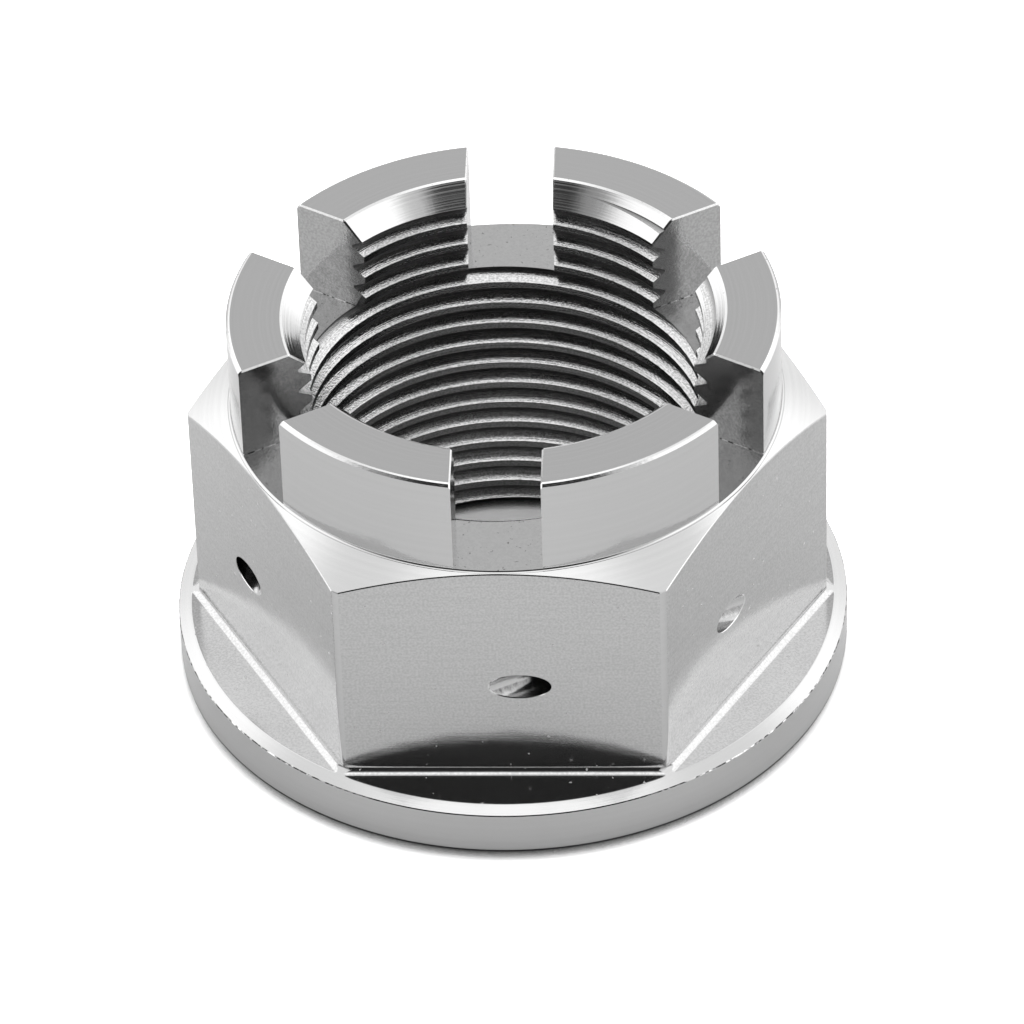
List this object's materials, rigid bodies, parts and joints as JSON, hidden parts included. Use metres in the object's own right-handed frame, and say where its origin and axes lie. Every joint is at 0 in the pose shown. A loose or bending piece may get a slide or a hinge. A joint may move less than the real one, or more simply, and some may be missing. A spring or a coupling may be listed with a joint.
{
  "type": "axle nut",
  "caption": "Slotted-crown hexagon flange nut for a wheel axle, with a fine right-hand thread and slanted lock-wire holes through its corners.",
  "frame": {"origin": "centre of the flange's flat bearing face, on the thread's axis", "axes": "+Z along the thread's axis, from the bearing face to the slotted crown; one wrench flat faces -Y"},
  "size_m": [0.039, 0.039, 0.0237],
  "materials": {
    "nut": "bare stainless steel, finely turned and milled, bright"
  },
  "bodies": {
    "root": {"axle_nut": "nut"}
  },
  "joints": []
}
